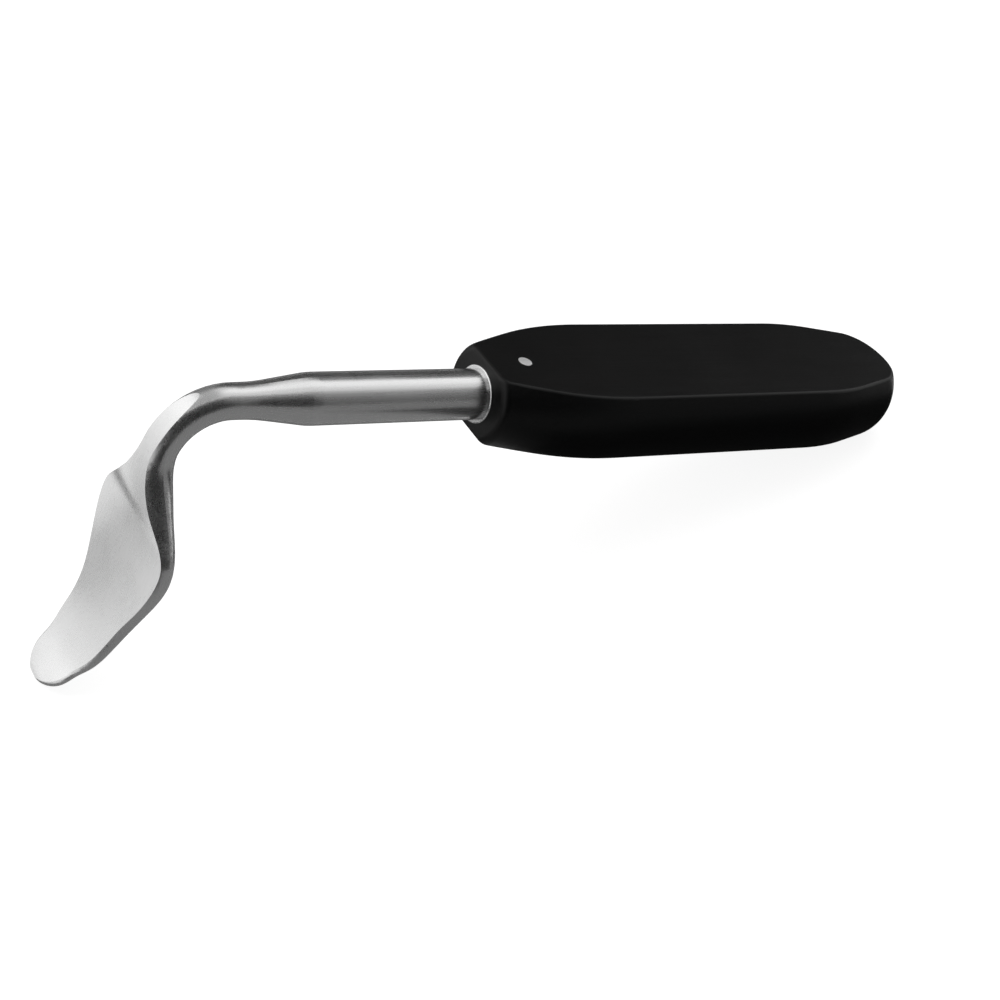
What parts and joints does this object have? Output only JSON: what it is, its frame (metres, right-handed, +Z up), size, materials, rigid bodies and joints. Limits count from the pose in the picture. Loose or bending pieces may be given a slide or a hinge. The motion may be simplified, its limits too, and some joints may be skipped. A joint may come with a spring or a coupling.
{
  "type": "handheld surgical retractor",
  "caption": "Handheld retractor: broad rounded steel blade bent down from a round shaft, pinned into a black two-flat grip.",
  "frame": {"origin": "on the surface it stands on, under the middle of the overall length", "axes": "+X from the blade to the rear of the grip, +Y across the blade, +Z up; the shaft slopes down towards the grip"},
  "size_m": [0.2508, 0.038, 0.0731],
  "materials": {
    "blade_steel": "satin, finely brushed",
    "grip_plastic": "matte, machined",
    "pin_steel": "ground flush",
    "ring_steel": "satin"
  },
  "bodies": {
    "root": {"blade_and_shaft": "blade_steel", "handle": "grip_plastic", "cross_pin": "pin_steel", "front_ring": "ring_steel"}
  },
  "joints": []
}
